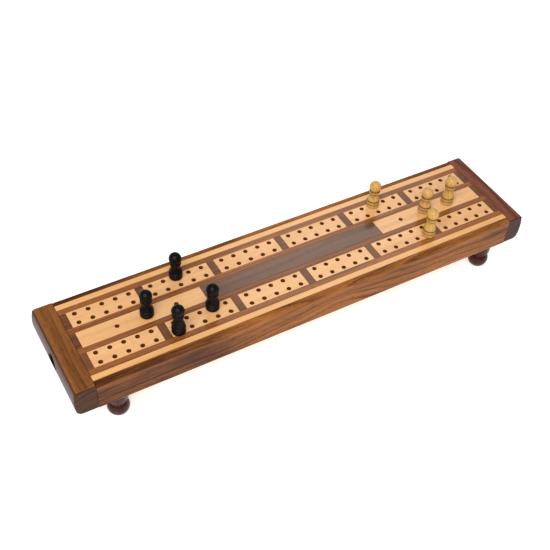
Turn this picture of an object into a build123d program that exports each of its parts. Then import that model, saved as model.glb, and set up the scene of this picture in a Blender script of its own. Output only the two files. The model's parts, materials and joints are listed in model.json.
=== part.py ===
from build123d import *
import math
import os

os.makedirs("parts", exist_ok=True)

# Two-lane cribbage board on four turned feet, with eight pegs and a peg drawer in its left end.
# Frame: millimetres, +X along the board to the right, +Y to the back, +Z up. The origin is on the
# surface that the feet stand on, under the middle of the board.

# --- Lanes: six pale panels in each, with five pairs of peg holes -------------------------------
panels_per_lane = 6
holes_per_row = 5
hole_pitch = 10.6
hole_margin = 5.7
row_pitch = 9.2
cross_piece_width = 6.2
lane_end_piece = 5.0
game_panel_length = 98.5
game_hole_pitch = 23.5
game_hole_count = 3
game_hole_shift = 3.25
centre_end_piece = 4.5

# --- Widths across the deck, from the middle outwards -------------------------------------------
centre_width = 15.1
stringer_width = 5.1
lane_width = 15.4
line_strip_width = 4.8
rail_width = 5.1
rail_top_round = 2.4
rail_bottom_round = 0.6

# --- Heights, from the surface upwards ----------------------------------------------------------
foot_height = 23.5
bottom_thick = 2.4
cavity_height = 14.6
core_thick = 4.4
inlay_thick = 3.6

# --- Peg holes and pegs -------------------------------------------------------------------------
peg_hole_radius = 1.6
peg_hole_depth = 7.2
spigot_clearance = 0.07
spigot_end_gap = 0.6
spigot_tip = 0.5
peg_seat_gap = 0.05
peg_foot_radius = 3.9
peg_bead_radius = 5.3
peg_groove_radius = 4.85
peg_belly_radius = 5.0
peg_neck_radius = 3.6
peg_collar_radius = 4.5
peg_head_radius = 4.85
peg_lower_groove = 3.6
peg_upper_groove = 6.6
peg_collar_drop = 4.3
peg_neck_drop = 8.3
peg_foot_bead_height = 2.0
peg_belly_rise = 1.2
peg_collar_lip = 0.5
peg_collar_half_height = 0.9
peg_head_seat_radius = 4.0

# --- End caps -----------------------------------------------------------------------------------
left_cap_bulge = 17.0
right_cap_bulge = 15.0
cap_corner_set_back = 1.8
cap_bulge_depth = 11.5
cap_top_round = 3.0
cap_bottom_round = 5.0
edge_round = 1.2
finger_hole_radius = 6.5
finger_hole_sink = 1.0
finger_hole_flare = 90

# --- Drawer and its runners ---------------------------------------------------------------------
runner_width = 8.0
tray_length = 185.0
tray_wall = 4.0
tray_floor = 1.6
tray_side_clearance = 0.4
tray_floor_clearance = 0.2
tray_top_clearance = 0.6
tray_end_clearance = 1.5
drawer_front_gap = 0.3
tongue_depth = 4.0
glue_gap = 0.05

# --- Feet ---------------------------------------------------------------------------------------
foot_end_inset = 16.5
foot_pad_radius = 8.0
foot_pad_height = 7.5
foot_pad_round = 0.8
foot_neck_radius = 6.2
foot_ball_radius = 8.4
foot_ball_height = 7.0
foot_tenon_radius = 2.2
foot_tenon_length = 8.0
foot_side_inset = 8.5

# --- Places worked out from the sizes above -----------------------------------------------------
panel_length = 2 * hole_margin + (holes_per_row - 1) * hole_pitch
panel_pitch = panel_length + cross_piece_width
lane_length = panels_per_lane * panel_length + (panels_per_lane - 1) * cross_piece_width
deck_length = lane_length + 2 * lane_end_piece
half_deck = deck_length / 2

inner_stringer_y = centre_width / 2
lane_inner_y = inner_stringer_y + stringer_width
outer_stringer_y = lane_inner_y + lane_width
line_strip_y = outer_stringer_y + stringer_width
rail_y = line_strip_y + line_strip_width
half_width = rail_y + rail_width
lane_y = lane_inner_y + lane_width / 2

underside = foot_height
cavity_floor = underside + bottom_thick
core_bottom = cavity_floor + cavity_height
inlay_bottom = core_bottom + core_thick
deck_top = inlay_bottom + inlay_thick
board_thick = deck_top - underside

runner_y = rail_y - runner_width
tray_y = runner_y - tray_side_clearance
tray_bottom = cavity_floor + tray_floor_clearance
tray_top = core_bottom - tray_top_clearance
front_face = -half_deck - drawer_front_gap
tray_back = front_face + tray_length
stop_face = tray_back + tray_end_clearance

game_panel_x = half_deck - centre_end_piece - game_panel_length / 2
game_hole_middle = game_panel_x - game_hole_shift

foot_x = half_deck - foot_end_inset
foot_y = half_width - foot_side_inset
tenon_bore_depth = foot_tenon_length + glue_gap

panel_centres = [
    (index - (panels_per_lane - 1) / 2) * panel_pitch for index in range(panels_per_lane)
]
sides = {"front": -1, "back": 1}


def lane_hole(side, panel, hole, row):
    """The place of one peg hole: panel and hole count from the left, row is "outer" or "inner"."""
    across = lane_y + (row_pitch / 2 if row == "outer" else -row_pitch / 2)
    along = panel_centres[panel - 1] + (hole - (holes_per_row + 1) / 2) * hole_pitch
    return (along, sides[side] * across)


def game_hole(end, hole):
    """The place of one hole of a centre panel: end is -1 for the left, hole counts from the left."""
    return (end * game_hole_middle + (hole - (game_hole_count + 1) / 2) * game_hole_pitch, 0)


lane_holes = [
    lane_hole(side, panel, hole, row)
    for side in sides
    for panel in range(1, panels_per_lane + 1)
    for hole in range(1, holes_per_row + 1)
    for row in ("outer", "inner")
]
game_holes = [game_hole(end, hole) for end in (-1, 1) for hole in range(1, game_hole_count + 1)]

# --- Deck core and the panel under the drawer ---------------------------------------------------
with BuildPart() as deck_core:
    with BuildSketch(Plane.XY.offset(core_bottom)):
        Rectangle(deck_length, 2 * rail_y)
    extrude(amount=core_thick)
    with BuildSketch(Plane.XY.offset(inlay_bottom)):
        with Locations(*lane_holes, *game_holes):
            Circle(peg_hole_radius)
    extrude(amount=inlay_thick - peg_hole_depth, mode=Mode.SUBTRACT)
deck_core.part.label = "deck_core"
export_step(deck_core.part, "parts/deck_core.step")

foot_places = [(end * foot_x, side * foot_y) for end in (-1, 1) for side in (-1, 1)]

with BuildPart() as bottom_panel:
    with BuildSketch(Plane.XY.offset(underside)):
        Rectangle(deck_length, 2 * rail_y)
        with Locations(*foot_places):
            Circle(foot_tenon_radius + glue_gap, mode=Mode.SUBTRACT)
    extrude(amount=bottom_thick)
bottom_panel.part.label = "bottom_panel"
export_step(bottom_panel.part, "parts/bottom_panel.step")

# --- Runners beside the drawer, bored for the foot tenons, and the block that stops the drawer --
for side, sign in sides.items():
    with BuildPart() as runner:
        with BuildSketch(Plane.XY.offset(cavity_floor)):
            with Locations((0, sign * (rail_y - runner_width / 2))):
                Rectangle(deck_length, runner_width)
        extrude(amount=cavity_height)
        with BuildSketch(Plane.XY.offset(cavity_floor)):
            with Locations((-foot_x, sign * foot_y), (foot_x, sign * foot_y)):
                Circle(foot_tenon_radius + glue_gap)
        extrude(amount=tenon_bore_depth - bottom_thick, mode=Mode.SUBTRACT)
    runner.part.label = f"runner_{side}"
    export_step(runner.part, f"parts/runner_{side}.step")

with BuildPart() as stop_block:
    with BuildSketch(Plane.XY.offset(cavity_floor)):
        with Locations(((stop_face + half_deck) / 2, 0)):
            Rectangle(half_deck - stop_face, 2 * runner_y)
    extrude(amount=cavity_height)
stop_block.part.label = "stop_block"
export_step(stop_block.part, "parts/stop_block.step")

# --- Side rails, with eased long edges ----------------------------------------------------------
for side, sign in sides.items():
    with BuildPart() as side_rail:
        with BuildSketch(Plane.XY.offset(underside)):
            with Locations((0, sign * (rail_y + rail_width / 2))):
                Rectangle(deck_length, rail_width)
        extrude(amount=board_thick)
        long_edges = side_rail.edges().filter_by(Axis.X).group_by(Axis.Y)[-1 if sign > 0 else 0]
        fillet(long_edges.sort_by(Axis.Z)[-1], radius=rail_top_round)
        long_edges = side_rail.edges().filter_by(Axis.X).group_by(Axis.Y)[-1 if sign > 0 else 0]
        fillet(long_edges.sort_by(Axis.Z)[0], radius=rail_bottom_round)
    side_rail.part.label = f"side_rail_{side}"
    export_step(side_rail.part, f"parts/side_rail_{side}.step")


# --- End caps: one is glued to the right end, the other is the front of the drawer --------------
def cap_blank(end, joint, reach):
    """A cap with a flat joint face, a bulged outer face and rounded edges. end is -1 or 1."""
    top_corner = (end * (half_deck + reach - cap_corner_set_back), deck_top)
    bulge = (end * (half_deck + reach), deck_top - cap_bulge_depth)
    low_corner = (end * (half_deck + reach - cap_corner_set_back), underside)
    with BuildPart() as blank:
        with BuildSketch(Plane.XZ):
            with BuildLine():
                Line((joint, deck_top), top_corner)
                ThreePointArc(top_corner, bulge, low_corner)
                Polyline(low_corner, (joint, underside), (joint, deck_top))
            make_face()
        extrude(amount=half_width, both=True)
        cross_edges = blank.edges().filter_by(Axis.Y).sort_by(lambda edge: abs(edge.center().X))
        outer_edges = cross_edges[-2:].sort_by(Axis.Z)
        fillet(outer_edges[0], radius=cap_bottom_round)
        cross_edges = blank.edges().filter_by(Axis.Y).sort_by(Axis.Z)
        top_edges = cross_edges[-2:].sort_by(lambda edge: abs(edge.center().X))
        fillet(top_edges[-1], radius=cap_top_round)
        end_grain = blank.faces().filter_by(Axis.Y)
        eased = end_grain.edges().filter_by(lambda edge: abs(edge.center().X) > half_deck + edge_round)
        fillet(eased, radius=edge_round)
    return blank.part


end_cap_right = cap_blank(1, half_deck, right_cap_bulge)
end_cap_right.label = "end_cap_right"
export_step(end_cap_right, "parts/end_cap_right.step")

mid_height = (underside + deck_top) / 2
tray_inner_y = tray_y - tray_wall
tongue_x = front_face - tongue_depth

with BuildPart() as drawer_front:
    add(cap_blank(-1, front_face, left_cap_bulge))
    with BuildSketch(Plane.YZ.offset(front_face)):
        with Locations((0, tray_bottom + tray_floor / 2)):
            Rectangle(2 * (tray_y + glue_gap), tray_floor + 2 * glue_gap)
        with Locations((-(tray_y + tray_inner_y) / 2, 0), ((tray_y + tray_inner_y) / 2, 0)):
            with Locations((0, (tray_bottom + tray_top) / 2)):
                Rectangle(tray_wall + 2 * glue_gap, tray_top - tray_bottom + 2 * glue_gap)
    extrude(amount=-(tongue_depth + glue_gap), mode=Mode.SUBTRACT)
    bulge_plane = Plane((-half_deck - left_cap_bulge, 0, mid_height), x_dir=(0, 1, 0), z_dir=(-1, 0, 0))
    with Locations(bulge_plane):
        CounterSinkHole(finger_hole_radius, finger_hole_radius + finger_hole_sink, left_cap_bulge,
                        finger_hole_flare)
drawer_front.part.label = "drawer_front"
export_step(drawer_front.part, "parts/drawer_front.step")

# --- Drawer tray: a floor, two sides and a back, tongued and glued into the front ---------------
with BuildPart() as drawer_bottom:
    with BuildSketch(Plane.XY.offset(tray_bottom)):
        with Locations(((tongue_x + tray_back) / 2, 0)):
            Rectangle(tray_back - tongue_x, 2 * tray_y)
    extrude(amount=tray_floor)
drawer_bottom.part.label = "drawer_bottom"
export_step(drawer_bottom.part, "parts/drawer_bottom.step")

for side, sign in sides.items():
    with BuildPart() as drawer_side:
        with BuildSketch(Plane.XY.offset(tray_bottom + tray_floor)):
            with Locations(((tongue_x + tray_back) / 2, sign * (tray_y - tray_wall / 2))):
                Rectangle(tray_back - tongue_x, tray_wall)
        extrude(amount=tray_top - tray_bottom - tray_floor)
    drawer_side.part.label = f"drawer_side_{side}"
    export_step(drawer_side.part, f"parts/drawer_side_{side}.step")

with BuildPart() as drawer_back:
    with BuildSketch(Plane.XY.offset(tray_bottom + tray_floor)):
        with Locations((tray_back - tray_wall / 2, 0)):
            Rectangle(tray_wall, 2 * tray_inner_y)
    extrude(amount=tray_top - tray_bottom - tray_floor)
drawer_back.part.label = "drawer_back"
export_step(drawer_back.part, "parts/drawer_back.step")

# --- Deck face: pale lane panels with through holes, over the blind holes of the core -----------
for side, sign in sides.items():
    for number, centre in enumerate(panel_centres, start=1):
        with BuildPart() as lane_panel:
            with BuildSketch(Plane.XY.offset(inlay_bottom)):
                with Locations((centre, sign * lane_y)):
                    Rectangle(panel_length, lane_width)
                    with GridLocations(hole_pitch, row_pitch, holes_per_row, 2):
                        Circle(peg_hole_radius, mode=Mode.SUBTRACT)
            extrude(amount=inlay_thick)
        lane_panel.part.label = f"lane_panel_{side}_{number}"
        export_step(lane_panel.part, f"parts/lane_panel_{side}_{number}.step")

# Two pale panels for the count of games, and the dark panel between them
for end, name in ((-1, "game_panel_left"), (1, "game_panel_right")):
    with BuildPart() as game_panel:
        with BuildSketch(Plane.XY.offset(inlay_bottom)):
            with Locations((end * game_panel_x, 0)):
                Rectangle(game_panel_length, centre_width)
            with Locations((end * game_hole_middle, 0)):
                with GridLocations(game_hole_pitch, 1, game_hole_count, 1):
                    Circle(peg_hole_radius, mode=Mode.SUBTRACT)
        extrude(amount=inlay_thick)
    game_panel.part.label = name
    export_step(game_panel.part, f"parts/{name}.step")

with BuildPart() as centre_panel:
    with BuildSketch(Plane.XY.offset(inlay_bottom)):
        Rectangle(deck_length - 2 * (centre_end_piece + game_panel_length), centre_width)
    extrude(amount=inlay_thick)
centre_panel.part.label = "centre_panel"
export_step(centre_panel.part, "parts/centre_panel.step")

with BuildPart() as centre_end_pieces:
    with BuildSketch(Plane.XY.offset(inlay_bottom)):
        with GridLocations(deck_length - centre_end_piece, 1, 2, 1):
            Rectangle(centre_end_piece, centre_width)
    extrude(amount=inlay_thick)
centre_end_pieces.part.label = "centre_end_pieces"
export_step(centre_end_pieces.part, "parts/centre_end_pieces.step")

# Dark cross pieces between the panels of a lane and at its two ends
for side, sign in sides.items():
    with BuildPart() as cross_pieces:
        with BuildSketch(Plane.XY.offset(inlay_bottom)):
            with Locations((0, sign * lane_y)):
                with GridLocations(panel_pitch, 1, panels_per_lane - 1, 1):
                    Rectangle(cross_piece_width, lane_width)
                with GridLocations(deck_length - lane_end_piece, 1, 2, 1):
                    Rectangle(lane_end_piece, lane_width)
        extrude(amount=inlay_thick)
    cross_pieces.part.label = f"cross_pieces_{side}"
    export_step(cross_pieces.part, f"parts/cross_pieces_{side}.step")

# Strips that run the whole length of the deck: dark stringers and the pale line strips
strips = [
    ("stringer_inner", inner_stringer_y, stringer_width),
    ("stringer_outer", outer_stringer_y, stringer_width),
    ("line_strip", line_strip_y, line_strip_width),
]
for side, sign in sides.items():
    for name, near_y, width in strips:
        with BuildPart() as strip:
            with BuildSketch(Plane.XY.offset(inlay_bottom)):
                with Locations((0, sign * (near_y + width / 2))):
                    Rectangle(deck_length, width)
            extrude(amount=inlay_thick)
        strip.part.label = f"{name}_{side}"
        export_step(strip.part, f"parts/{name}_{side}.step")

# --- Feet: pad, short neck and ball in one turning, with a tenon glued into the runner ----------
ball_middle = foot_ball_height
toe_radius = math.sqrt(foot_ball_radius**2 - ball_middle**2)
pad_bottom = underside - foot_pad_height
ball_neck = ball_middle + math.sqrt(foot_ball_radius**2 - foot_neck_radius**2)
tenon_top = underside + foot_tenon_length
foot_names = ["foot_front_left", "foot_back_left", "foot_front_right", "foot_back_right"]

for name, (x, y) in zip(foot_names, foot_places):
    with BuildPart() as foot:
        with BuildSketch(Plane((x, y, 0), x_dir=(1, 0, 0), z_dir=(0, -1, 0))):
            with BuildLine():
                Polyline(
                    (toe_radius, 0),
                    (0, 0),
                    (0, tenon_top),
                    (foot_tenon_radius, tenon_top),
                    (foot_tenon_radius, underside),
                    (foot_pad_radius, underside),
                    (foot_pad_radius, pad_bottom),
                    (foot_neck_radius, pad_bottom),
                    (foot_neck_radius, ball_neck),
                )
                ThreePointArc(
                    (foot_neck_radius, ball_neck),
                    (foot_ball_radius, ball_middle),
                    (toe_radius, 0),
                )
            make_face()
        revolve(axis=Axis((x, y, 0), (0, 0, 1)))
        pad_rim = foot.edges().filter_by(GeomType.CIRCLE).filter_by(
            lambda edge: abs(edge.radius - foot_pad_radius) < glue_gap
        )
        fillet(pad_rim.sort_by(Axis.Z)[0], radius=foot_pad_round)
    foot.part.label = name
    export_step(foot.part, f"parts/{name}.step")

# --- Pegs: turned by hand, so their heights differ ----------------------------------------------
# Each has its name, the place of its hole and its height above the deck.
pegs = [
    ("peg_black_1", lane_hole("back", 2, 3, "outer"), 24.8),
    ("peg_black_2", game_hole(-1, 2), 25.2),
    ("peg_black_3", lane_hole("front", 2, 4, "inner"), 24.6),
    ("peg_black_4", lane_hole("front", 2, 1, "outer"), 27.3),
    ("peg_light_1", lane_hole("back", 5, 3, "outer"), 25.2),
    ("peg_light_2", game_hole(1, 2), 24.2),
    ("peg_light_3", game_hole(1, 3), 27.2),
    ("peg_light_4", lane_hole("front", 5, 5, "outer"), 27.2),
]
spigot_radius = peg_hole_radius - spigot_clearance
spigot_bottom = spigot_end_gap - peg_hole_depth

for name, (x, y), height in pegs:
    head = height - peg_head_radius
    collar = head - peg_collar_drop
    neck = head - peg_neck_drop
    head_seat = head - math.sqrt(peg_head_radius**2 - peg_head_seat_radius**2)
    collar_rim = (peg_collar_radius - peg_collar_lip, collar - peg_collar_half_height)
    collar_top = (peg_head_seat_radius, collar + peg_collar_half_height)
    with BuildPart() as peg:
        with BuildSketch(Plane((x, y, deck_top), x_dir=(1, 0, 0), z_dir=(0, -1, 0))):
            with BuildLine():
                Polyline(
                    (0, height),
                    (0, spigot_bottom),
                    (spigot_radius - spigot_tip, spigot_bottom),
                    (spigot_radius, spigot_bottom + spigot_tip),
                    (spigot_radius, peg_seat_gap),
                    (peg_foot_radius, peg_seat_gap),
                )
                ThreePointArc(
                    (peg_foot_radius, peg_seat_gap),
                    (peg_bead_radius, peg_foot_bead_height),
                    (peg_groove_radius, peg_lower_groove),
                )
                ThreePointArc(
                    (peg_groove_radius, peg_lower_groove),
                    (peg_bead_radius, (peg_lower_groove + peg_upper_groove) / 2),
                    (peg_groove_radius, peg_upper_groove),
                )
                Spline(
                    (peg_groove_radius, peg_upper_groove),
                    (peg_belly_radius, peg_upper_groove + peg_belly_rise),
                    (peg_neck_radius, neck),
                    collar_rim,
                )
                ThreePointArc(collar_rim, (peg_collar_radius, collar), collar_top)
                Line(collar_top, (peg_head_seat_radius, head_seat))
                ThreePointArc(
                    (peg_head_seat_radius, head_seat), (peg_head_radius, head), (0, height)
                )
            make_face()
        revolve(axis=Axis((x, y, deck_top), (0, 0, 1)))
    peg.part.label = name
    export_step(peg.part, f"parts/{name}.step")
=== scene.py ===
import json
import math

import bmesh
import bpy
from mathutils import Matrix, Vector
from mathutils.geometry import interpolate_bezier

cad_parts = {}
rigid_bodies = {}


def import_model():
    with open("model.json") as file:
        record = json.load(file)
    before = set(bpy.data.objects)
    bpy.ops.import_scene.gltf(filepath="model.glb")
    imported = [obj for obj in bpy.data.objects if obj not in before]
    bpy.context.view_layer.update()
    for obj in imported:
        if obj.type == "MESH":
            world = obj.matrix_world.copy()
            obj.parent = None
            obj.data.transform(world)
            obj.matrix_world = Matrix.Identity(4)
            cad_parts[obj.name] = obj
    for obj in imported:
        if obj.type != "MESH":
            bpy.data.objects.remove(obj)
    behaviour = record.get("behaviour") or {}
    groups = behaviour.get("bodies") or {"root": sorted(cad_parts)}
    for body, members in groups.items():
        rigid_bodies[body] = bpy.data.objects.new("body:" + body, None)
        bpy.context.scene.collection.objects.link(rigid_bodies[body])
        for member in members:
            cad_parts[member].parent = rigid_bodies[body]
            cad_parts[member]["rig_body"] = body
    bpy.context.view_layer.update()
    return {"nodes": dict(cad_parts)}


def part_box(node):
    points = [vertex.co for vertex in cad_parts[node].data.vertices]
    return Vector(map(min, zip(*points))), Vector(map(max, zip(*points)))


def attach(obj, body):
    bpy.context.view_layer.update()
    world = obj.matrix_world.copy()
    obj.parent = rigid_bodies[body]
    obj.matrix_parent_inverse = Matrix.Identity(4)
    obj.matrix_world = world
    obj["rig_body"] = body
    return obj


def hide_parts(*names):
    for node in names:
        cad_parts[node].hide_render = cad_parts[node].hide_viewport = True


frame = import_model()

nodes = frame["nodes"]
scene = bpy.context.scene

# ---- Camera -------------------------------------------------------------------------------------
# Three quarters from the left front, looking down on the board, with the lens a studio would use
# for a small long object.
deck_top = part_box("lane_panel_front_1")[1].z
view_azimuth = math.radians(57.574)
view_elevation = math.radians(46.527)
view_roll = math.radians(3.929)
view_distance = 0.7038
view_target = Vector((-0.0218, -0.0078, deck_top))
forward = Vector((
    math.cos(view_azimuth) * math.cos(view_elevation),
    math.sin(view_azimuth) * math.cos(view_elevation),
    -math.sin(view_elevation),
))

camera_data = bpy.data.cameras.new("camera")
camera_data.sensor_width = 36.0
camera_data.lens = 60.08
camera = bpy.data.objects.new("camera", camera_data)
scene.collection.objects.link(camera)
level_turn = forward.to_track_quat("-Z", "Y").to_matrix()
camera.rotation_euler = (level_turn @ Matrix.Rotation(view_roll, 3, "Z")).to_euler()
camera.location = view_target - forward * view_distance
scene.camera = camera

# ---- Studio -------------------------------------------------------------------------------------
# A white light table that glows a little, under a pale room. A key softbox stands in front of the
# board, high on its left. A warm one behind it mirrors in the lacquer, a little right of the middle.
scene.view_settings.view_transform = "Standard"
table_half = 4.0
table_white = (0.85, 0.85, 0.85, 1)
table_roughness = 0.9
table_glow = 0.52
room_colour = (1.0, 0.99, 0.97, 1)
room_light = 0.40
key_place = Vector((-0.75, -0.85, 1.55))
key_size = 1.5
key_radiance = 5.0
key_white = (1.0, 1.0, 1.0)
sheen_point = Vector((0.03, 0.0, deck_top))
sheen_distance = 1.9
sheen_size = 0.62
sheen_radiance = 2.1
sheen_warmth = (1.0, 0.91, 0.80)


def add_node(tree, kind, inputs=None, **options):
    """Adds a node, sets its options, and feeds each input with a value or another node's output."""
    node = tree.nodes.new(kind)
    for option, value in options.items():
        setattr(node, option, value)
    for socket, value in (inputs or {}).items():
        if isinstance(value, bpy.types.NodeSocket):
            tree.links.new(value, node.inputs[socket])
        else:
            node.inputs[socket].default_value = value
    return node


def new_material(name):
    """A node material with its tree and its Principled shader."""
    material = bpy.data.materials.new(name)
    material.use_nodes = True
    tree = material.node_tree
    return material, tree, tree.nodes["Principled BSDF"]


def mesh_object(name, mesh):
    """Links a mesh into the scene as an object at the origin."""
    piece = bpy.data.objects.new(name, mesh)
    scene.collection.objects.link(piece)
    return piece


def softbox(name, place, target, size, radiance, colour):
    """A square area light that faces its target."""
    light_data = bpy.data.lights.new(name, "AREA")
    light_data.size = size
    light_data.energy = radiance * math.pi * size**2
    light_data.color = colour
    light = bpy.data.objects.new(name, light_data)
    light.location = place
    light.rotation_euler = (target - place).to_track_quat("-Z", "Y").to_euler()
    scene.collection.objects.link(light)


table_mesh = bpy.data.meshes.new("light_table")
table_mesh.from_pydata(
    [(-table_half, -table_half, 0), (table_half, -table_half, 0),
     (table_half, table_half, 0), (-table_half, table_half, 0)],
    [], [(0, 1, 2, 3)],
)
light_table = mesh_object("light_table", table_mesh)
table_material, tree, shader = new_material("white_table")
shader.inputs["Base Color"].default_value = table_white
shader.inputs["Roughness"].default_value = table_roughness
shader.inputs["Emission Color"].default_value = (1.0, 1.0, 1.0, 1)
shader.inputs["Emission Strength"].default_value = table_glow
table_mesh.materials.append(table_material)

room = bpy.data.worlds.new("pale_room")
room.use_nodes = True
room.node_tree.nodes["Background"].inputs["Color"].default_value = room_colour
room.node_tree.nodes["Background"].inputs["Strength"].default_value = room_light
scene.world = room

softbox("key_softbox", key_place, Vector((0, 0, 0)), key_size, key_radiance, key_white)
sheen_ray = (sheen_point - camera.location).normalized()
sheen_ray.z = -sheen_ray.z
softbox("sheen_softbox", sheen_point + sheen_ray * sheen_distance, sheen_point, sheen_size,
        sheen_radiance, sheen_warmth)


# ---- Carcass: deck core, bottom, runners and stop block -----------------------------------------
# Plain light hardwood, sawn and sanded but not lacquered, glued into a shallow box with its left
# end open. The peg holes end in the core.

# How many times per metre each figure of the wood changes, along the grain and across it
sway_scale = (6.0, 30.0)
fibre_scale = (40.0, 1100.0)
patch_scale = (11.0, 70.0)
pore_scale = (190.0, 2600.0)

# The lowest and highest values of the noise between which veins and pores fade in
vein_start, vein_full = 0.55, 0.7
pore_start, pore_full = 0.6, 0.7

smoothest_wood = 0.34
fibre_roughness = 0.14
fibre_height = 0.4
plain_gleam = 0.2
dull_gleam = 0.08


def make_wood_group():
    """The shader group for every wood. Its vector is in metres with the grain along X: growth
    rings lie round that axis, fibres and pores run along it."""
    group = bpy.data.node_groups.new("Solid wood", "ShaderNodeTree")
    for name, kind in (
        ("Vector", "Vector"), ("Early wood", "Color"), ("Late wood", "Color"), ("Vein", "Color"),
        ("Ring spacing", "Float"), ("Waviness", "Float"), ("Ring contrast", "Float"),
        ("Fibre contrast", "Float"), ("Patch contrast", "Float"), ("Vein amount", "Float"),
        ("Pore amount", "Float"), ("Tone", "Float"),
    ):
        group.interface.new_socket(name, in_out="INPUT", socket_type="NodeSocket" + kind)
    for name, kind in (("Color", "Color"), ("Roughness", "Float"), ("Height", "Float")):
        group.interface.new_socket(name, in_out="OUTPUT", socket_type="NodeSocket" + kind)
    given = group.nodes.new("NodeGroupInput").outputs
    result = group.nodes.new("NodeGroupOutput").inputs

    def maths(operation, first, second=0.0, third=0.0, clamp=False):
        return add_node(group, "ShaderNodeMath", {0: first, 1: second, 2: third},
                        operation=operation, use_clamp=clamp).outputs[0]

    def vectors(operation, first, second):
        return add_node(group, "ShaderNodeVectorMath", {0: first, 1: second},
                        operation=operation).outputs

    def noise(vector, scale, detail):
        """Noise whose scale is given along the grain and across it, per metre."""
        along, across = scale
        scaled = vectors("MULTIPLY", vector, (along, across, across))[0]
        return add_node(group, "ShaderNodeTexNoise",
                        {"Vector": scaled, "Scale": 1.0, "Detail": detail, "Roughness": 0.55}).outputs

    def ramp(value, low, high):
        return add_node(group, "ShaderNodeMapRange",
                        {"Value": value, "From Min": low, "From Max": high}).outputs[0]

    def blend(amount, first, second):
        return add_node(group, "ShaderNodeMix", {0: amount, 6: first, 7: second},
                        data_type="RGBA").outputs[2]

    sway = vectors("SUBTRACT", noise(given["Vector"], sway_scale, 2.0)["Color"], (0.5, 0.5, 0.5))[0]
    sway = add_node(group, "ShaderNodeVectorMath", {0: sway, "Scale": given["Waviness"]},
                    operation="SCALE").outputs[0]
    swayed = vectors("ADD", given["Vector"], sway)[0]
    radius = vectors("LENGTH", vectors("MULTIPLY", swayed, (0.0, 1.0, 1.0))[0], (0, 0, 0))["Value"]
    ring_number = maths("DIVIDE", radius, given["Ring spacing"])
    ring = add_node(group, "ShaderNodeTexNoise", {"W": ring_number, "Scale": 1.0, "Detail": 3.0},
                    noise_dimensions="1D").outputs[0]
    fibre = noise(swayed, fibre_scale, 3.0)[0]
    patch = noise(swayed, patch_scale, 3.0)[0]
    pore = noise(given["Vector"], pore_scale, 0.0)[0]

    mix = given["Tone"]
    for value, contrast in ((ring, "Ring contrast"), (fibre, "Fibre contrast"),
                            (patch, "Patch contrast")):
        mix = maths("MULTIPLY_ADD", maths("SUBTRACT", value, 0.5), given[contrast], mix)
    base = blend(maths("ADD", mix, 0.0, clamp=True), given["Early wood"], given["Late wood"])
    vein = maths("MULTIPLY", ramp(ring, vein_start, vein_full), given["Vein amount"], clamp=True)
    veined = blend(vein, base, given["Vein"])
    pit = maths("MULTIPLY", ramp(pore, pore_start, pore_full), given["Pore amount"], clamp=True)
    group.links.new(blend(pit, veined, given["Vein"]), result["Color"])
    group.links.new(maths("MULTIPLY_ADD", fibre, fibre_roughness, smoothest_wood), result["Roughness"])
    group.links.new(maths("SUBTRACT", maths("MULTIPLY", fibre, fibre_height), pit),
                    result["Height"])
    return group


wood_group = make_wood_group()


def tint(red, green, blue):
    """A linear colour from the 0 to 255 values of a paint chart."""
    return tuple((value / 255) ** 2.2 for value in (red, green, blue)) + (1.0,)


def object_vector(tree, turn=(0, 0, 0), shift=(0, 0, 0)):
    """The place on the object in metres, turned so that the grain lies along X, then shifted."""
    place = add_node(tree, "ShaderNodeTexCoord").outputs["Object"]
    turn = tuple(math.radians(angle) for angle in turn)
    return add_node(tree, "ShaderNodeMapping", {"Vector": place, "Location": shift, "Rotation": turn},
                    vector_type="POINT").outputs[0]


def wood_finish(tree, shader, vector, looks, relief):
    """Places the wood group in a material and joins it to the shader."""
    grain = add_node(tree, "ShaderNodeGroup", node_tree=wood_group)
    tree.links.new(vector, grain.inputs["Vector"])
    grain.inputs["Tone"].default_value = 0.5
    for socket, value in looks.items():
        grain.inputs[socket].default_value = value
    bump = add_node(tree, "ShaderNodeBump", {"Height": grain.outputs["Height"], "Distance": relief})
    tree.links.new(grain.outputs["Color"], shader.inputs["Base Color"])
    tree.links.new(grain.outputs["Roughness"], shader.inputs["Roughness"])
    tree.links.new(bump.outputs[0], shader.inputs["Normal"])
    shader.inputs["Specular IOR Level"].default_value = plain_gleam
    return grain


def lacquer(shader, weight, roughness, wood_gleam=plain_gleam):
    """Clear lacquer over the wood, whose own gleam under it can be duller."""
    shader.inputs["Coat Weight"].default_value = weight
    shader.inputs["Coat Roughness"].default_value = roughness
    shader.inputs["Specular IOR Level"].default_value = wood_gleam


def cover(material, *names):
    """Gives CAD pieces that stay as they are a finished material."""
    for name in names:
        for slot in nodes[name].material_slots:
            slot.material = material


carcass_looks = {
    "Early wood": tint(205, 168, 124), "Late wood": tint(176, 134, 90), "Vein": tint(120, 84, 52),
    "Ring spacing": 0.0022, "Waviness": 0.008, "Ring contrast": 0.8, "Fibre contrast": 0.6,
    "Patch contrast": 0.5, "Vein amount": 0.1, "Pore amount": 0.35,
}
carcass_wood, tree, shader = new_material("sanded_carcass_wood")
wood_finish(tree, shader, object_vector(tree, shift=(0, 0.03, 0.09)), carcass_looks, 0.00006)
cover(carcass_wood, "deck_core", "bottom_panel", "runner_front", "runner_back", "stop_block")

# ---- Feet ---------------------------------------------------------------------------------------
# Four turned feet in dark red polished wood: a pad, a short neck and a ball. Each has a tenon that
# is glued into the runner above it.
foot_pad_radius = 0.008
foot_pad_height = 0.0075
foot_pad_round = 0.0008
foot_neck_radius = 0.0062
foot_neck_cove = 0.0004
foot_ball_radius = 0.0084
foot_ball_height = 0.007
foot_tenon_radius = 0.0022
foot_tenon_chamfer = 0.0004
turning_sides = 64
turning_crease = 35


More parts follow.
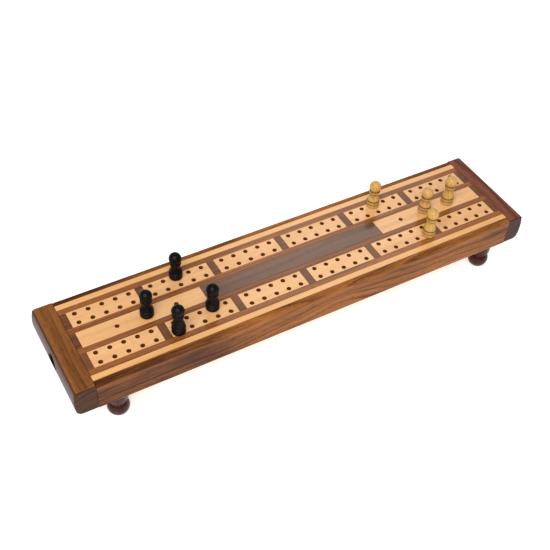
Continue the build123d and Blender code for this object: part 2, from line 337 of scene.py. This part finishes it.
def arc(middle, radius, start, end, steps):
    """Points of an arc in the (radius, height) plane. Angles are in degrees from outwards."""
    angles = [math.radians(start + (end - start) * step / steps) for step in range(steps + 1)]
    return [
        (middle[0] + radius * math.cos(angle), middle[1] + radius * math.sin(angle))
        for angle in angles
    ]


def turned(name, outline, middle):
    """A turned piece. Its outline runs from the lower end to the upper, both on the axis."""
    form = bmesh.new()
    rings = []
    for radius, height in outline:
        if radius == 0:
            rings.append([form.verts.new((middle.x, middle.y, middle.z + height))])
            continue
        ring = []
        for side in range(turning_sides):
            angle = 2 * math.pi * side / turning_sides
            ring.append(form.verts.new((
                middle.x + radius * math.cos(angle),
                middle.y + radius * math.sin(angle),
                middle.z + height,
            )))
        rings.append(ring)
    for lower, upper in zip(rings, rings[1:]):
        for side in range(turning_sides):
            after = (side + 1) % turning_sides
            corners = [lower[side % len(lower)], lower[after % len(lower)],
                       upper[after % len(upper)], upper[side % len(upper)]]
            form.faces.new(dict.fromkeys(corners))
    bmesh.ops.recalc_face_normals(form, faces=form.faces)
    mesh = bpy.data.meshes.new(name)
    form.to_mesh(mesh)
    form.free()
    mesh.shade_smooth()
    mesh.set_sharp_from_angle(angle=math.radians(turning_crease))
    return mesh_object(name, mesh)


def finish_piece(piece, material, slot, *replaced):
    """Gives a piece its material, and puts it in the place of its CAD nodes."""
    piece.data.materials.clear()
    piece.data.materials.append(material)
    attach(piece, nodes[replaced[0]]["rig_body"])
    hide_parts(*replaced)


foot_looks = {
    "Early wood": tint(76, 28, 18), "Late wood": tint(46, 16, 11), "Vein": tint(20, 8, 5),
    "Ring spacing": 0.0011, "Waviness": 0.004, "Ring contrast": 1.2, "Fibre contrast": 0.5,
    "Patch contrast": 0.5, "Vein amount": 0.4, "Pore amount": 0.25,
}
foot_wood, tree, shader = new_material("polished_foot_wood")
wood_finish(tree, shader, object_vector(tree, turn=(0, 90, 0), shift=(0, 0.002, 0.004)), foot_looks,
            0.00002)
lacquer(shader, 0.3, 0.08, dull_gleam)

ball_toe = math.sqrt(foot_ball_radius**2 - foot_ball_height**2)
toe_angle = math.degrees(math.asin(foot_ball_height / foot_ball_radius))
neck_angle = math.degrees(math.acos((foot_neck_radius + foot_neck_cove) / foot_ball_radius))
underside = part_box("bottom_panel")[0].z
pad_bottom = underside - foot_pad_height
ball_neck = foot_ball_height + foot_ball_radius * math.sin(math.radians(neck_angle))
for name in ("foot_front_left", "foot_back_left", "foot_front_right", "foot_back_right"):
    low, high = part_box(name)
    middle = Vector(((low.x + high.x) / 2, (low.y + high.y) / 2, 0))
    outline = [(0, 0), (ball_toe, 0)]
    outline += arc((0, foot_ball_height), foot_ball_radius, -toe_angle, neck_angle, 26)[1:]
    outline += arc((foot_neck_radius + foot_neck_cove, ball_neck + foot_neck_cove), foot_neck_cove,
                   270, 180, 4)[1:]
    outline += [(foot_neck_radius, pad_bottom - foot_neck_cove)]
    outline += arc((foot_neck_radius + foot_neck_cove, pad_bottom - foot_neck_cove), foot_neck_cove,
                   180, 90, 4)[1:]
    outline += arc((foot_pad_radius - foot_pad_round, pad_bottom + foot_pad_round), foot_pad_round,
                   -90, 0, 5)
    outline += [
        (foot_pad_radius, underside),
        (foot_tenon_radius, underside),
        (foot_tenon_radius, high.z - foot_tenon_chamfer),
        (foot_tenon_radius - foot_tenon_chamfer, high.z),
        (0, high.z),
    ]
    finish_piece(turned(name + "_turned", outline, middle), foot_wood, "polished_foot", name)

# ---- Side rails ---------------------------------------------------------------------------------
# Solid sheesham rails, lacquered, glued to the long sides. The grain of each rises into a curl
# near the middle of the board, where the wood is paler, and the left end is the darker one.
curl_middle = 0.018
curl_reach = 0.055
curl_height = 0.016
curl_paleness = 30.0
rail_tone = 0.72
rail_tone_slope = 1.2
weld_gap = 1e-6
flat_limit = 0.3
sharp_limit = 40
rail_ease = 0.0002


def eased_copy(node, width):
    """A welded copy of a CAD piece, with its sharp edges eased by width."""
    form = bmesh.new()
    form.from_mesh(nodes[node].data)
    bmesh.ops.remove_doubles(form, verts=form.verts, dist=weld_gap)
    bmesh.ops.dissolve_limit(form, angle_limit=math.radians(flat_limit), verts=form.verts,
                             edges=form.edges)
    mesh = bpy.data.meshes.new(node)
    form.to_mesh(mesh)
    form.free()
    piece = mesh_object(node + "_eased", mesh)
    return settle(piece, width)


def settle(piece, width):
    """Eases a piece's sharp edges and turns the result into a plain mesh."""
    piece.data.shade_smooth()
    bevel = piece.modifiers.new("eased_edges", "BEVEL")
    bevel.width = width
    bevel.segments = 2
    bevel.angle_limit = math.radians(sharp_limit)
    shading = piece.modifiers.new("flat_faces_stay_flat", "WEIGHTED_NORMAL")
    shading.weight = 100
    evaluated = piece.evaluated_get(bpy.context.evaluated_depsgraph_get())
    mesh = bpy.data.meshes.new_from_object(evaluated)
    piece.modifiers.clear()
    piece.data = mesh
    return piece


rail_looks = {
    "Early wood": tint(162, 100, 50), "Late wood": tint(76, 42, 22), "Vein": tint(36, 19, 10),
    "Ring spacing": 0.0026, "Waviness": 0.018, "Ring contrast": 1.5, "Fibre contrast": 1.0,
    "Patch contrast": 1.9, "Vein amount": 0.5, "Pore amount": 0.4,
}
rail_wood, tree, shader = new_material("curled_sheesham_rail")
place = object_vector(tree)
axes = add_node(tree, "ShaderNodeSeparateXYZ", {0: place}).outputs
from_curl = add_node(tree, "ShaderNodeMath", {0: axes[0], 1: curl_middle}, operation="SUBTRACT")
from_curl = add_node(tree, "ShaderNodeMath", {0: from_curl.outputs[0], 1: curl_reach},
                     operation="DIVIDE").outputs[0]
fall = add_node(tree, "ShaderNodeMath", {0: from_curl, 1: from_curl, 2: 1.0},
                operation="MULTIPLY_ADD")
curl = add_node(tree, "ShaderNodeMath", {0: curl_height, 1: fall.outputs[0]}, operation="DIVIDE")
rise = add_node(tree, "ShaderNodeMath", {0: axes[2], 1: curl.outputs[0]}, operation="SUBTRACT")
lifted = add_node(tree, "ShaderNodeCombineXYZ", {0: axes[0], 1: axes[1], 2: rise.outputs[0]})
grain = wood_finish(tree, shader, lifted.outputs[0], rail_looks, 0.00003)
tone = add_node(tree, "ShaderNodeMath", {0: curl.outputs[0], 1: -curl_paleness, 2: rail_tone},
                operation="MULTIPLY_ADD")
tone = add_node(tree, "ShaderNodeMath", {0: axes[0], 1: -rail_tone_slope, 2: tone.outputs[0]},
                operation="MULTIPLY_ADD")
tree.links.new(tone.outputs[0], grain.inputs["Tone"])
lacquer(shader, 0.08, 0.2, dull_gleam)
for side in ("front", "back"):
    name = "side_rail_" + side
    finish_piece(eased_copy(name, rail_ease), rail_wood, "figured_rail", name)

# ---- End caps and drawer ------------------------------------------------------------------------
# Bulged rosewood caps with their grain across the board. The right one is glued on. The left one
# is the front of the drawer, bored with a finger hole, and the tray is tongued into it.
cap_ease = 0.0002
tray_ease = 0.0003
# The painted shade multiplied into the caps' rounded edges and sides
cap_side_painted_shade = (0.28, 0.23, 0.22, 1.0)
finger_hole_reach = 0.0075
bore_shade_edge = 0.0002
top_normal, side_normal = 0.96, 0.7
# The near black of the painted shade in the finger hole
bore_shade_colour = tint(18, 10, 6)


def cap_finish(name, looks, shift):
    """A cap's wood. Its rounded edges and sides are darker than its top: painted shade, and on the end
    grain partly the darker wood itself.
    """
    material, tree, shader = new_material(name)
    vector = object_vector(tree, turn=(0, 0, 90), shift=shift)
    grain = wood_finish(tree, shader, vector, looks, 0.00003)
    facing = add_node(tree, "ShaderNodeNewGeometry").outputs["Normal"]
    facing = add_node(tree, "ShaderNodeSeparateXYZ", {0: facing}).outputs[2]
    facing = add_node(tree, "ShaderNodeMath", {0: facing}, operation="ABSOLUTE").outputs[0]
    # Painted shade: the less a face looks up, the more the shade colour darkens it
    side = add_node(tree, "ShaderNodeMapRange",
                    {"Value": facing, "From Min": top_normal, "From Max": side_normal}).outputs[0]
    side_shaded = add_node(tree, "ShaderNodeMix",
                        {0: side, 6: grain.outputs["Color"], 7: cap_side_painted_shade},
                        data_type="RGBA", blend_type="MULTIPLY")
    tree.links.new(side_shaded.outputs[2], shader.inputs["Base Color"])
    lacquer(shader, 0.12, 0.2, dull_gleam)
    return material


def paint_bore_shade(material, bore_middle):
    """Paints shade on the inside of the finger hole, darkening it to near black."""
    tree = material.node_tree
    shader = tree.nodes["Principled BSDF"]
    wood = shader.inputs["Base Color"].links[0].from_socket
    from_bore = add_node(tree, "ShaderNodeTexCoord").outputs["Object"]
    from_bore = add_node(tree, "ShaderNodeVectorMath", {0: from_bore, 1: bore_middle},
                         operation="SUBTRACT").outputs[0]
    from_bore = add_node(tree, "ShaderNodeVectorMath", {0: from_bore, 1: (0.0, 1.0, 1.0)},
                         operation="MULTIPLY").outputs[0]
    from_bore = add_node(tree, "ShaderNodeVectorMath", {0: from_bore}, operation="LENGTH")
    bored = add_node(tree, "ShaderNodeMapRange", {
        "Value": from_bore.outputs["Value"], "From Min": finger_hole_reach + bore_shade_edge,
        "From Max": finger_hole_reach,
    }).outputs[0]
    bore_shaded = add_node(tree, "ShaderNodeMix", {0: bored, 6: wood, 7: bore_shade_colour},
                       data_type="RGBA")
    tree.links.new(bore_shaded.outputs[2], shader.inputs["Base Color"])


cap_looks = {
    "Early wood": tint(156, 100, 54), "Late wood": tint(98, 58, 30), "Vein": tint(44, 24, 12),
    "Ring spacing": 0.0024, "Waviness": 0.010, "Ring contrast": 1.4, "Fibre contrast": 0.9,
    "Patch contrast": 1.2, "Vein amount": 0.5, "Pore amount": 0.45,
}
right_cap_looks = dict(cap_looks)
right_cap_looks["Early wood"] = tint(134, 82, 62)
right_cap_looks["Late wood"] = tint(92, 52, 42)
right_cap_looks["Vein"] = tint(44, 22, 18)
left_cap_wood = cap_finish("brown_rosewood_cap", cap_looks, (0, 0.17, 0.02))
cap_low, cap_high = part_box("drawer_front")
# Painted shade in the finger hole of the drawer front
paint_bore_shade(left_cap_wood, (cap_low + cap_high) / 2)
right_cap_wood = cap_finish("purple_rosewood_cap", right_cap_looks, (0, -0.21, 0.01))
for name, wood in (("end_cap_right", right_cap_wood), ("drawer_front", left_cap_wood)):
    finish_piece(eased_copy(name, cap_ease), wood, "cap_wood", name)

tray_looks = dict(carcass_looks)
tray_looks["Early wood"] = tint(214, 180, 138)
tray_looks["Late wood"] = tint(190, 150, 106)
tray_wood, tree, shader = new_material("sanded_tray_wood")
wood_finish(tree, shader, object_vector(tree, shift=(0, 0.05, 0.02)), tray_looks, 0.00005)
for name in ("drawer_bottom", "drawer_side_front", "drawer_side_back", "drawer_back"):
    finish_piece(eased_copy(name, tray_ease), tray_wood, "tray_wood", name)

# ---- Stringers and line strips ------------------------------------------------------------------
# Long strips of reddish rosewood and of pale maple, glued side by side over the core and sanded
# flush with it.
joint_ease = 0.00012
deck_lacquer = 0.9
brown_lacquer = 0.6
deck_gloss = 0.2
stringer_looks = {
    "Early wood": tint(164, 98, 46), "Late wood": tint(100, 55, 25), "Vein": tint(46, 23, 10),
    "Ring spacing": 0.0016, "Waviness": 0.006, "Ring contrast": 1.2, "Fibre contrast": 0.8,
    "Patch contrast": 1.2, "Vein amount": 0.45, "Pore amount": 0.35,
}
stringer_wood, tree, shader = new_material("rosewood_stringer")
wood_finish(tree, shader, object_vector(tree, shift=(0, 0.06, 0.03)), stringer_looks, 0.00002)
lacquer(shader, brown_lacquer, deck_gloss)

strip_looks = {
    "Early wood": tint(243, 190, 128), "Late wood": tint(216, 152, 86), "Vein": tint(172, 108, 56),
    "Ring spacing": 0.0016, "Waviness": 0.004, "Ring contrast": 0.8, "Fibre contrast": 0.6,
    "Patch contrast": 0.8, "Vein amount": 0.12, "Pore amount": 0.15,
}
strip_wood, tree, shader = new_material("maple_line_strip")
wood_finish(tree, shader, object_vector(tree, shift=(0, 0.02, 0.05)), strip_looks, 0.00002)
lacquer(shader, deck_lacquer, deck_gloss)

for side in ("front", "back"):
    for row in ("inner", "outer"):
        name = f"stringer_{row}_{side}"
        finish_piece(eased_copy(name, joint_ease), stringer_wood, "stringer", name)
    name = "line_strip_" + side
    finish_piece(eased_copy(name, joint_ease), strip_wood, "pale_strip", name)

# ---- Dark inlays --------------------------------------------------------------------------------
# Rosewood: a purple-brown long panel in the middle of the board, and browner short cross pieces
# between the pale panels and at their ends.
dark_looks = {
    "Early wood": tint(116, 77, 54), "Late wood": tint(70, 43, 31), "Vein": tint(30, 18, 13),
    "Ring spacing": 0.0018, "Waviness": 0.006, "Ring contrast": 1.0, "Fibre contrast": 0.8,
    "Patch contrast": 1.0, "Vein amount": 0.4, "Pore amount": 0.4,
}
dark_wood, tree, shader = new_material("purple_rosewood")
wood_finish(tree, shader, object_vector(tree, shift=(0, 0.03, 0.06)), dark_looks, 0.00002)
lacquer(shader, deck_lacquer, deck_gloss)
cross_looks = dict(dark_looks)
cross_looks["Early wood"] = tint(126, 74, 40)
cross_looks["Late wood"] = tint(76, 42, 22)
cross_wood, tree, shader = new_material("brown_rosewood")
wood_finish(tree, shader, object_vector(tree, shift=(0, 0.03, 0.06)), cross_looks, 0.00002)
lacquer(shader, brown_lacquer, deck_gloss)
for name, wood in (
    ("centre_panel", dark_wood), ("centre_end_pieces", cross_wood),
    ("cross_pieces_front", cross_wood), ("cross_pieces_back", cross_wood),
):
    finish_piece(eased_copy(name, joint_ease), wood, "dark_panel", name)

# ---- Pale panels --------------------------------------------------------------------------------
# Lacquered maple, one board to each panel, let in between the strips. The lane panels are drilled
# with five pairs of peg holes and the two centre panels with three holes in line.
peg_hole_radius = 0.0016
rim_width = 0.00022
hole_sides = 32
hole_pitch = 0.0106
row_pitch = 0.0092
game_hole_pitch = 0.0235
game_hole_shift = 0.00325
lane_step = 1.5 * row_pitch
board_jump = 0.08
palest_board, darkest_board = 0.35, 0.6
# The brown of the painted shade in the peg holes
hole_shade_colour = tint(128, 66, 28)
face_normal, rim_normal = 0.97, 0.85


def make_panel_tree():
    """The Geometry Nodes tree of a drilled panel: a slab less a grid of round holes."""
    tree = bpy.data.node_groups.new("Drilled panel", "GeometryNodeTree")
    tree.interface.new_socket("Geometry", in_out="OUTPUT", socket_type="NodeSocketGeometry")
    for name, kind in (
        ("Panel middle", "Vector"), ("Panel size", "Vector"), ("Hole radius", "Float"),
        ("Rim width", "Float"), ("Hole sides", "Int"), ("Holes along", "Int"), ("Holes across", "Int"),
        ("Spacing along", "Float"), ("Spacing across", "Float"), ("Hole shift", "Float"),
        ("Wood", "Material"),
    ):
        tree.interface.new_socket(name, in_out="INPUT", socket_type="NodeSocket" + kind)
    given = tree.nodes.new("NodeGroupInput").outputs
    result = tree.nodes.new("NodeGroupOutput").inputs

    def span(count, spacing):
        gaps = add_node(tree, "ShaderNodeMath", {0: given[count], 1: 1.0}, operation="SUBTRACT")
        return add_node(tree, "ShaderNodeMath", {0: gaps.outputs[0], 1: given[spacing]},
                        operation="MULTIPLY").outputs[0]

    slab = add_node(tree, "GeometryNodeMeshCube", {"Size": given["Panel size"]}).outputs["Mesh"]
    grid = add_node(tree, "GeometryNodeMeshGrid", {
        "Size X": span("Holes along", "Spacing along"),
        "Size Y": span("Holes across", "Spacing across"),
        "Vertices X": given["Holes along"], "Vertices Y": given["Holes across"],
    }).outputs["Mesh"]
    shift = add_node(tree, "ShaderNodeCombineXYZ", {0: given["Hole shift"]}).outputs[0]
    holes = add_node(tree, "GeometryNodeSetPosition", {"Geometry": grid, "Offset": shift}).outputs[0]
    height = add_node(tree, "ShaderNodeSeparateXYZ", {0: given["Panel size"]}).outputs[2]
    drill_length = add_node(tree, "ShaderNodeMath", {0: height, 1: 2.0}, operation="MULTIPLY")
    drill = add_node(tree, "GeometryNodeMeshCylinder", {
        "Vertices": given["Hole sides"], "Radius": given["Hole radius"],
        "Depth": drill_length.outputs[0],
    }).outputs["Mesh"]
    two_rims = add_node(tree, "ShaderNodeMath", {0: given["Rim width"], 1: 2.0},
                        operation="MULTIPLY").outputs[0]
    sink_low = add_node(tree, "ShaderNodeMath", {0: given["Hole radius"], 1: given["Rim width"]},
                        operation="SUBTRACT").outputs[0]
    sink_high = add_node(tree, "ShaderNodeMath", {0: given["Hole radius"], 1: two_rims},
                         operation="ADD").outputs[0]
    sink_depth = add_node(tree, "ShaderNodeMath", {0: given["Rim width"], 1: 3.0},
                          operation="MULTIPLY").outputs[0]
    half_height = add_node(tree, "ShaderNodeMath", {0: height, 1: 2.0}, operation="DIVIDE")
    sink_place = add_node(tree, "ShaderNodeMath", {0: half_height.outputs[0], 1: two_rims},
                          operation="SUBTRACT").outputs[0]
    sink_place = add_node(tree, "ShaderNodeCombineXYZ", {2: sink_place}).outputs[0]
    sink = add_node(tree, "GeometryNodeMeshCone", {
        "Vertices": given["Hole sides"], "Radius Bottom": sink_low, "Radius Top": sink_high,
        "Depth": sink_depth,
    }).outputs["Mesh"]
    sink = add_node(tree, "GeometryNodeTransform", {"Geometry": sink, "Translation": sink_place})

    cut = slab
    for tool in (drill, sink.outputs[0]):
        tools = add_node(tree, "GeometryNodeInstanceOnPoints", {"Points": holes, "Instance": tool})
        tools = add_node(tree, "GeometryNodeRealizeInstances", {0: tools.outputs[0]})
        step = add_node(tree, "GeometryNodeMeshBoolean", operation="DIFFERENCE")
        tree.links.new(cut, step.inputs[0])
        tree.links.new(tools.outputs[0], step.inputs[1])
        cut = step.outputs[0]
    smooth = add_node(tree, "GeometryNodeSetShadeSmooth", {"Geometry": cut})
    moved = add_node(tree, "GeometryNodeTransform",
                     {"Geometry": smooth.outputs[0], "Translation": given["Panel middle"]})
    real = add_node(tree, "GeometryNodeRealizeInstances", {0: moved.outputs[0]})
    woody = add_node(tree, "GeometryNodeSetMaterial",
                     {"Geometry": real.outputs[0], "Material": given["Wood"]})
    tree.links.new(woody.outputs[0], result["Geometry"])
    return tree


panel_tree = make_panel_tree()


def drilled_panel(node, wood, along, across, spacing_along, spacing_across, shift):
    """A panel in the place of its CAD node, with a grid of holes."""
    low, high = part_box(node)
    piece = mesh_object(node + "_drilled", bpy.data.meshes.new(node))
    modifier = piece.modifiers.new("drilled_panel", "NODES")
    modifier.node_group = panel_tree
    identifiers = {item.name: item.identifier for item in panel_tree.interface.items_tree
                   if item.in_out == "INPUT"}
    for name, value in (
        ("Panel middle", (low + high) / 2), ("Panel size", high - low),
        ("Hole radius", peg_hole_radius), ("Rim width", rim_width), ("Hole sides", hole_sides),
        ("Holes along", along), ("Holes across", across), ("Spacing along", spacing_along),
        ("Spacing across", spacing_across), ("Hole shift", shift), ("Wood", wood),
    ):
        modifier[identifiers[name]] = value
    settle(piece, joint_ease)
    finish_piece(piece, wood, "pale_panel", node)


maple_looks = {
    "Early wood": tint(239, 186, 130), "Late wood": tint(219, 160, 102), "Vein": tint(170, 110, 62),
    "Ring spacing": 0.002, "Waviness": 0.006, "Ring contrast": 0.7, "Fibre contrast": 0.8,
    "Patch contrast": 0.9, "Vein amount": 0.1, "Pore amount": 0.2,
}
panel_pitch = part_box("lane_panel_front_2")[0].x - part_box("lane_panel_front_1")[0].x
maple, tree, shader = new_material("maple_panel")
place = object_vector(tree)
axes = add_node(tree, "ShaderNodeSeparateXYZ", {0: place}).outputs
board = add_node(tree, "ShaderNodeMath", {0: axes[0], 1: panel_pitch}, operation="DIVIDE")
board = add_node(tree, "ShaderNodeMath", {0: board.outputs[0]}, operation="FLOOR")
lane = add_node(tree, "ShaderNodeMath", {0: axes[1], 1: lane_step}, operation="DIVIDE")
lane = add_node(tree, "ShaderNodeMath", {0: lane.outputs[0]}, operation="ROUND")
which = add_node(tree, "ShaderNodeCombineXYZ", {0: board.outputs[0], 1: lane.outputs[0]})
chance = add_node(tree, "ShaderNodeTexWhiteNoise", {"Vector": which.outputs[0]},
                  noise_dimensions="3D")
jump = add_node(tree, "ShaderNodeVectorMath", {0: chance.outputs["Color"], "Scale": board_jump},
                operation="SCALE")
jumped = add_node(tree, "ShaderNodeVectorMath", {0: place, 1: jump.outputs[0]}, operation="ADD")
grain = wood_finish(tree, shader, jumped.outputs[0], maple_looks, 0.00002)
tone = add_node(tree, "ShaderNodeMapRange", {
    "Value": chance.outputs["Value"], "To Min": palest_board, "To Max": darkest_board,
})
tree.links.new(tone.outputs[0], grain.inputs["Tone"])
# Painted shade in the peg holes: faces that turn from the top, the rims and walls of the holes, are
# painted brown
facing = add_node(tree, "ShaderNodeNewGeometry").outputs["Normal"]
facing = add_node(tree, "ShaderNodeSeparateXYZ", {0: facing}).outputs[2]
wall = add_node(tree, "ShaderNodeMapRange",
                {"Value": facing, "From Min": face_normal, "From Max": rim_normal})
hole_shaded = add_node(tree, "ShaderNodeMix",
                    {0: wall.outputs[0], 6: grain.outputs["Color"], 7: hole_shade_colour}, data_type="RGBA")
tree.links.new(hole_shaded.outputs[2], shader.inputs["Base Color"])
lacquer(shader, deck_lacquer, deck_gloss)

for side in ("front", "back"):
    for number in range(1, 7):
        drilled_panel(f"lane_panel_{side}_{number}", maple, 5, 2, hole_pitch, row_pitch, 0.0)
drilled_panel("game_panel_left", maple, 3, 1, game_hole_pitch, row_pitch, game_hole_shift)
drilled_panel("game_panel_right", maple, 3, 1, game_hole_pitch, row_pitch, -game_hole_shift)

# ---- Pegs ---------------------------------------------------------------------------------------
# Eight turned pegs, four ebonised and four waxed boxwood with burnt lines. Each stands by its
# spigot in a hole of the deck, and has two beads at its foot, a waist, a collar and a round head.
peg_foot_radius = 0.0039
peg_bead_radius = 0.0053
peg_groove_radius = 0.00465
peg_belly_radius = 0.005
peg_neck_radius = 0.0036
peg_collar_radius = 0.0045
peg_head_radius = 0.00485
peg_head_seat_radius = 0.0039
peg_seat_gap = 0.00005
peg_lower_groove = 0.0036
peg_upper_groove = 0.0066
peg_collar_drop = 0.0043
peg_neck_drop = 0.0083
peg_collar_half = 0.0009
spigot_radius = 0.00153
spigot_tip = 0.0005

# How far the curves of the profile run on before they bend, as shares of a bead or a radius
rise_pull = 0.6
crown_pull = 0.5
top_pull = 1.7
groove_pull = 0.2
belly_pull = 1.12

peg_gleam = 0.1
burn_strength = 1.1
burn_reach_fine = 0.0007
burn_reach_broad = 0.0009
burnt_brown = tint(84, 46, 14)


def curve(start, start_pull, end_pull, end, steps):
    """Points of a Bezier curve in the (radius, height) plane, without its first point."""
    points = [Vector((radius, height, 0)) for radius, height in (start, start_pull, end_pull, end)]
    return [(point.x, point.y) for point in interpolate_bezier(*points, steps + 1)][1:]


def burn_lines(piece, seat, lines):
    """Marks the burnt lines of a peg. Each line is its height over the deck and its half width."""
    burnt = piece.data.attributes.new("burnt", "FLOAT", "POINT")
    for vertex, mark in zip(piece.data.vertices, burnt.data):
        height = vertex.co.z - seat.z
        mark.value = max(1.0 - abs(height - middle) / reach for middle, reach in lines)


def peg_outline(bottom, height):
    """The outline of a peg. Heights are above the deck, and bottom is the spigot's lower end."""
    head = height - peg_head_radius
    collar = head - peg_collar_drop
    neck = head - peg_neck_drop
    head_seat = head - math.sqrt(peg_head_radius**2 - peg_head_seat_radius**2)
    seat_angle = math.degrees(math.asin((head_seat - head) / peg_head_radius))
    foot_bead = (peg_lower_groove - peg_seat_gap) / 2
    upper_bead = (peg_upper_groove - peg_lower_groove) / 2
    points = [
        (0, bottom),
        (spigot_radius - spigot_tip, bottom),
        (spigot_radius, bottom + spigot_tip),
        (spigot_radius, peg_seat_gap),
        (peg_foot_radius, peg_seat_gap),
    ]
    points += curve(points[-1], (peg_bead_radius, peg_seat_gap), (peg_bead_radius, foot_bead * rise_pull),
                    (peg_bead_radius, foot_bead), 5)
    points += curve(points[-1], (peg_bead_radius, foot_bead * top_pull),
                    (peg_bead_radius, peg_lower_groove - foot_bead * groove_pull),
                    (peg_groove_radius, peg_lower_groove), 6)
    bead_middle = peg_lower_groove + upper_bead
    points += curve(points[-1], (peg_bead_radius, peg_lower_groove + upper_bead * groove_pull),
                    (peg_bead_radius, bead_middle - upper_bead * crown_pull),
                    (peg_bead_radius, bead_middle), 6)
    points += curve(points[-1], (peg_bead_radius, bead_middle + upper_bead * crown_pull),
                    (peg_bead_radius, peg_upper_groove - upper_bead * groove_pull),
                    (peg_groove_radius, peg_upper_groove), 6)
    points += curve(points[-1], (peg_belly_radius * belly_pull, peg_upper_groove + upper_bead * rise_pull),
                    (peg_neck_radius, neck - upper_bead * 2), (peg_neck_radius, neck), 14)
    points += curve(points[-1], (peg_neck_radius, neck + upper_bead),
                    (peg_collar_radius, collar - 2 * peg_collar_half),
                    (peg_collar_radius, collar), 9)
    points += curve(points[-1], (peg_collar_radius, collar + peg_collar_half),
                    (peg_head_seat_radius, collar + peg_collar_half),
                    (peg_head_seat_radius, head_seat), 6)
    points += arc((0, head), peg_head_radius, seat_angle, 90, 22)[1:-1]
    points += [(0, height)]
    return points


black_looks = {
    "Early wood": tint(14, 12, 12), "Late wood": tint(7, 6, 6), "Vein": tint(4, 3, 3),
    "Ring spacing": 0.0009, "Waviness": 0.002, "Ring contrast": 0.8, "Fibre contrast": 0.8,
    "Patch contrast": 0.5, "Vein amount": 0.2, "Pore amount": 0.3,
}
black_wood, tree, shader = new_material("ebonised_peg_wood")
wood_finish(tree, shader, object_vector(tree, turn=(0, 90, 0), shift=(0, 0.004, 0.003)), black_looks,
            0.00002)
lacquer(shader, 0.1, 0.35, peg_gleam)

box_looks = {
    "Early wood": tint(218, 174, 98), "Late wood": tint(184, 136, 66), "Vein": tint(130, 88, 38),
    "Ring spacing": 0.0009, "Waviness": 0.002, "Ring contrast": 1.0, "Fibre contrast": 0.8,
    "Patch contrast": 0.6, "Vein amount": 0.25, "Pore amount": 0.15,
}
box_wood, tree, shader = new_material("boxwood_peg_wood")
grain = wood_finish(tree, shader, object_vector(tree, turn=(0, 90, 0), shift=(0, 0.004, 0.003)),
                    box_looks, 0.00002)
burnt = add_node(tree, "ShaderNodeAttribute", attribute_name="burnt").outputs["Fac"]
burnt = add_node(tree, "ShaderNodeMath", {0: burnt, 1: burn_strength}, operation="MULTIPLY",
                 use_clamp=True)
burnt_colour = add_node(tree, "ShaderNodeMix",
                        {0: burnt.outputs[0], 6: grain.outputs["Color"], 7: burnt_brown},
                        data_type="RGBA")
tree.links.new(burnt_colour.outputs[2], shader.inputs["Base Color"])
lacquer(shader, 0.4, 0.3)

for shade, wood in (("black", black_wood), ("light", box_wood)):
    for number in range(1, 5):
        name = f"peg_{shade}_{number}"
        low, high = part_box(name)
        seat = Vector(((low.x + high.x) / 2, (low.y + high.y) / 2, deck_top))
        outline = peg_outline(low.z - deck_top, high.z - deck_top)
        peg = turned(name + "_turned", outline, seat)
        if shade == "light":
            collar = high.z - deck_top - peg_head_radius - peg_collar_drop
            burn_lines(peg, seat, (
                (peg_lower_groove, burn_reach_fine), (peg_upper_groove, burn_reach_broad),
                (collar + peg_collar_half, burn_reach_broad),
                (collar - 2 * peg_collar_half, burn_reach_fine),
            ))
        finish_piece(peg, wood, shade + "_peg", name)
